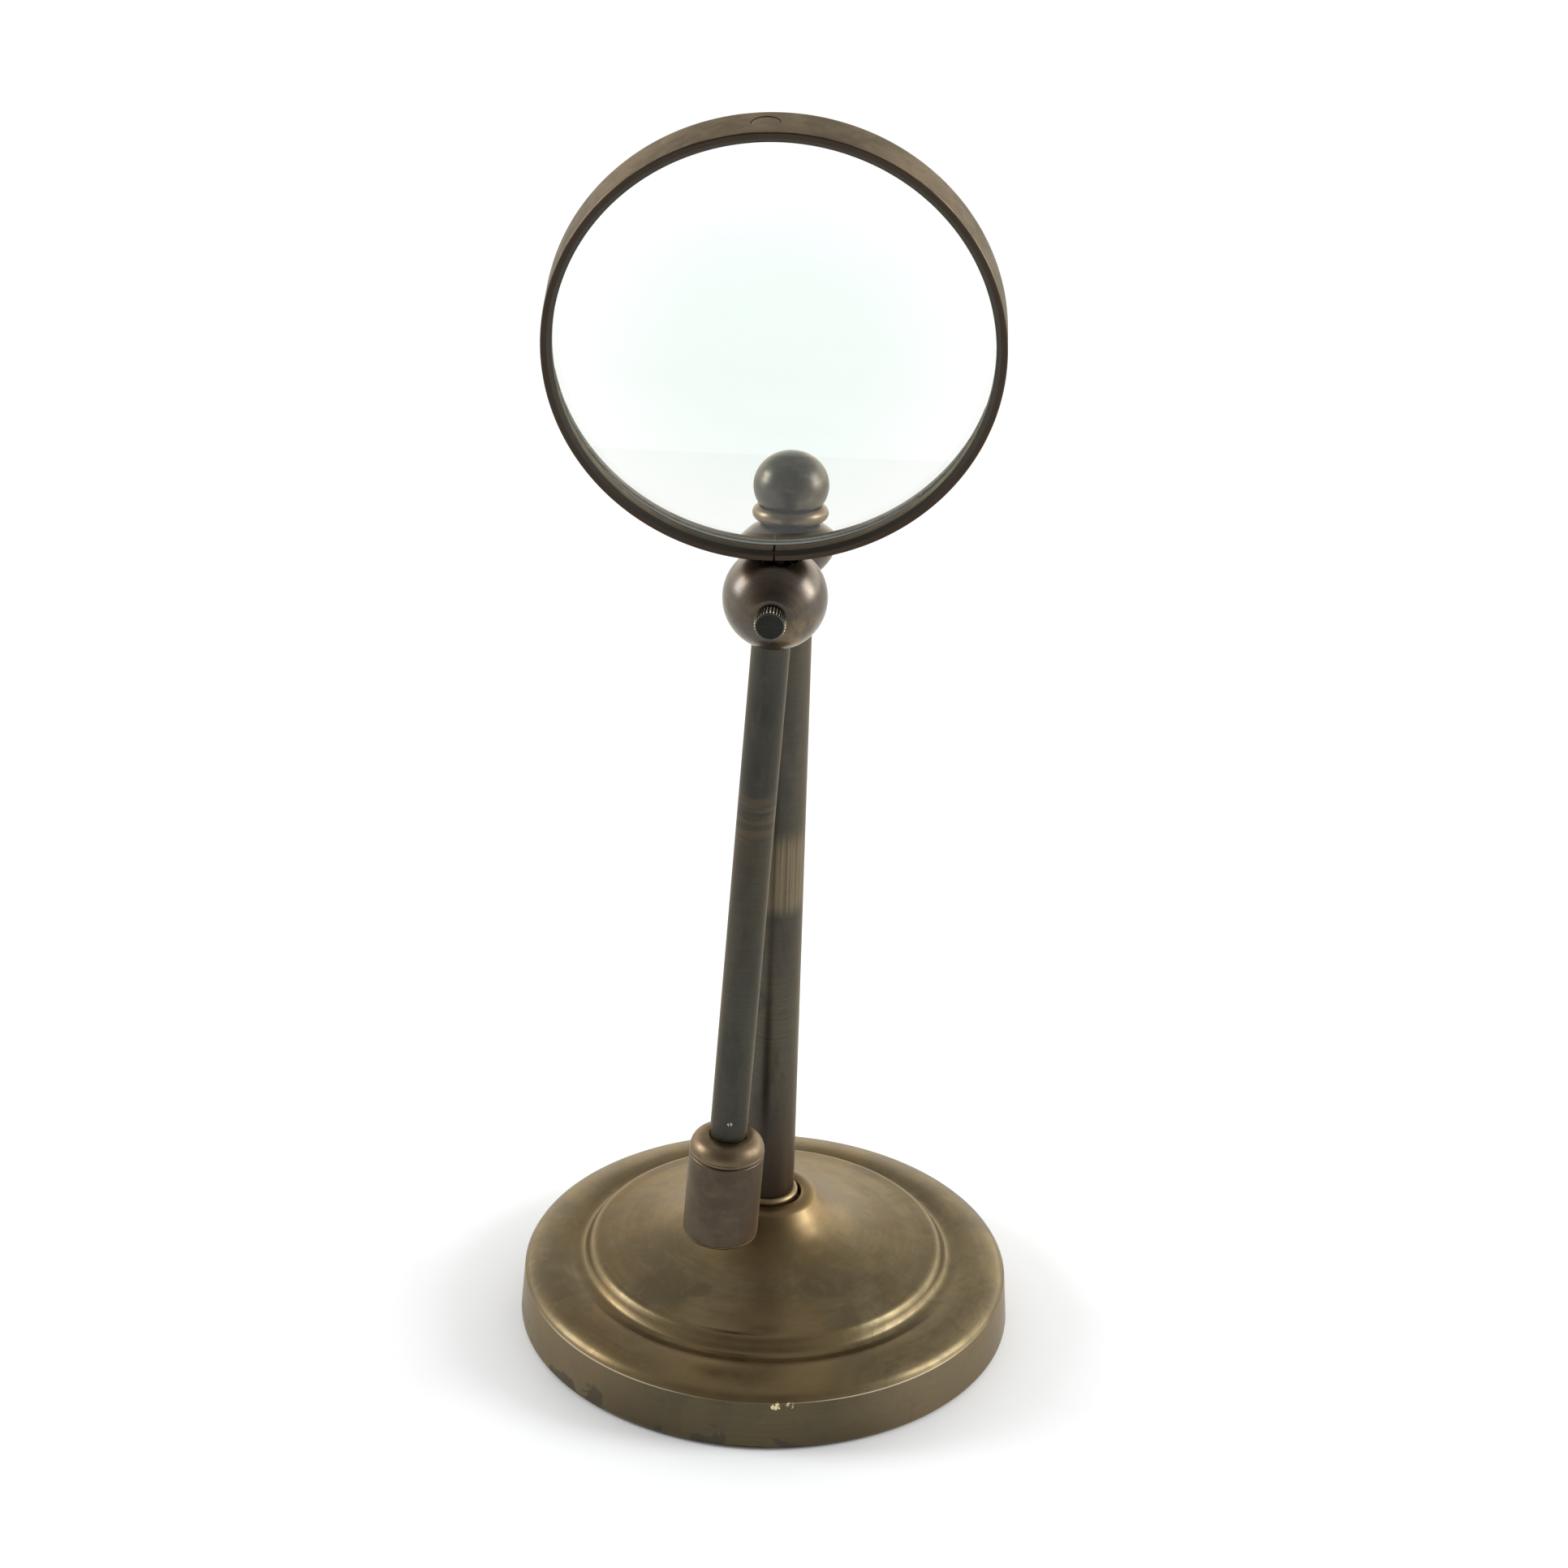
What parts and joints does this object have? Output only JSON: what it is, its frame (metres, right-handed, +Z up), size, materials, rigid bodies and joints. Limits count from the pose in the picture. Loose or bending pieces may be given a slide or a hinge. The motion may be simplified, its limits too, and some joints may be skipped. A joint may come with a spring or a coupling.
{
  "type": "desk magnifying glass on post stand",
  "caption": "Antique-brass desk magnifier: round lens in a split ring on a sliding, tilting rod with a counterweight, carried by a post on a weighted domed base.",
  "frame": {"origin": "centre of the baize underside, on the desk", "axes": "+Z up along the post, -Y towards the user and the lens, +X to the right as the user sees it"},
  "size_m": [0.114, 0.114, 0.3122],
  "materials": {
    "antique_brass": "dark oil-rubbed antique patina, satin",
    "worn_brass": "patina worn thin and golden, satin",
    "bronze": "plain machined bearing bronze",
    "plain_steel": "plain zinc-plated, dull",
    "cast_iron": "rough as cast",
    "baize": "short green baize",
    "lens_glass": "polished clear crown glass, faint green",
    "black_liner": "matt black"
  },
  "bodies": {
    "stand": {"base_shell": "antique_brass", "base_weight": "cast_iron", "base_felt": "baize", "base_washer": "plain_steel", "base_nut": "plain_steel", "post_foot": "plain_steel", "post_collar": "worn_brass", "post_tube": "antique_brass", "post_spindle": "plain_steel"},
    "swivel_head": {"rear_ball": "antique_brass", "pivot_sleeve": "antique_brass", "pivot_stud": "plain_steel", "pivot_spring": "plain_steel"},
    "finial_washer": {"finial_bead": "worn_brass"},
    "finial_nut": {"finial_ball": "antique_brass"},
    "tilt_head": {"front_ball": "antique_brass", "pivot_bush": "bronze"},
    "pad": {"clamp_pad": "bronze"},
    "thumb_screw": {"thumb_screw": "antique_brass"},
    "rod_sleeve": {"rod_bush": "bronze"},
    "lens_arm": {"rod_tube": "antique_brass", "rod_end_plug": "plain_steel", "counterweight_cap": "worn_brass", "counterweight_body": "antique_brass", "weight_screw": "plain_steel", "ring_stud": "antique_brass", "lens_ring": "antique_brass", "ring_plug": "antique_brass", "lens": "lens_glass", "lens_liner_front": "black_liner", "lens_liner_rear": "black_liner"}
  },
  "joints": [
    {"name": "head_swivel", "type": "hinge", "parent": "stand", "child": "swivel_head", "pos_m": [0, 0, 0.2041], "axis": [0, 0, 1], "continuous": true},
    {"name": "finial_lift", "type": "slide", "parent": "swivel_head", "child": "finial_washer", "axis": [0, 0, 1], "range_m": [0, 0.002]},
    {"name": "finial_turn", "type": "hinge", "parent": "finial_washer", "child": "finial_nut", "pos_m": [0, 0, 0.2217], "axis": [0, 0, 1], "range_deg": [0, 724]},
    {"name": "arm_tilt", "type": "hinge", "parent": "swivel_head", "child": "tilt_head", "pos_m": [0, -0.0328, 0.2041], "axis": [0, 1, 0], "range_deg": [-120, 120]},
    {"name": "pad_travel", "type": "slide", "parent": "tilt_head", "child": "pad", "axis": [0, -1, 0], "range_m": [0, 0.0014]},
    {"name": "thumb_screw_turn", "type": "hinge", "parent": "pad", "child": "thumb_screw", "pos_m": [0, -0.0465, 0.2041], "axis": [0, -1, 0], "range_deg": [0, 724]},
    {"name": "rod_roll", "type": "hinge", "parent": "tilt_head", "child": "rod_sleeve", "pos_m": [0, -0.0328, 0.2041], "axis": [0.0513, 0, 0.9987], "range_deg": [-60, 60]},
    {"name": "rod_slide", "type": "slide", "parent": "rod_sleeve", "child": "lens_arm", "axis": [0.0513, 0, 0.9987], "range_m": [0, 0.125]}
  ],
  "couplings": [
    {"joint": "thumb_screw_turn", "follows": "pad_travel", "rad_per_m": 8976},
    {"joint": "finial_turn", "follows": "finial_lift", "rad_per_m": 6283.2}
  ]
}
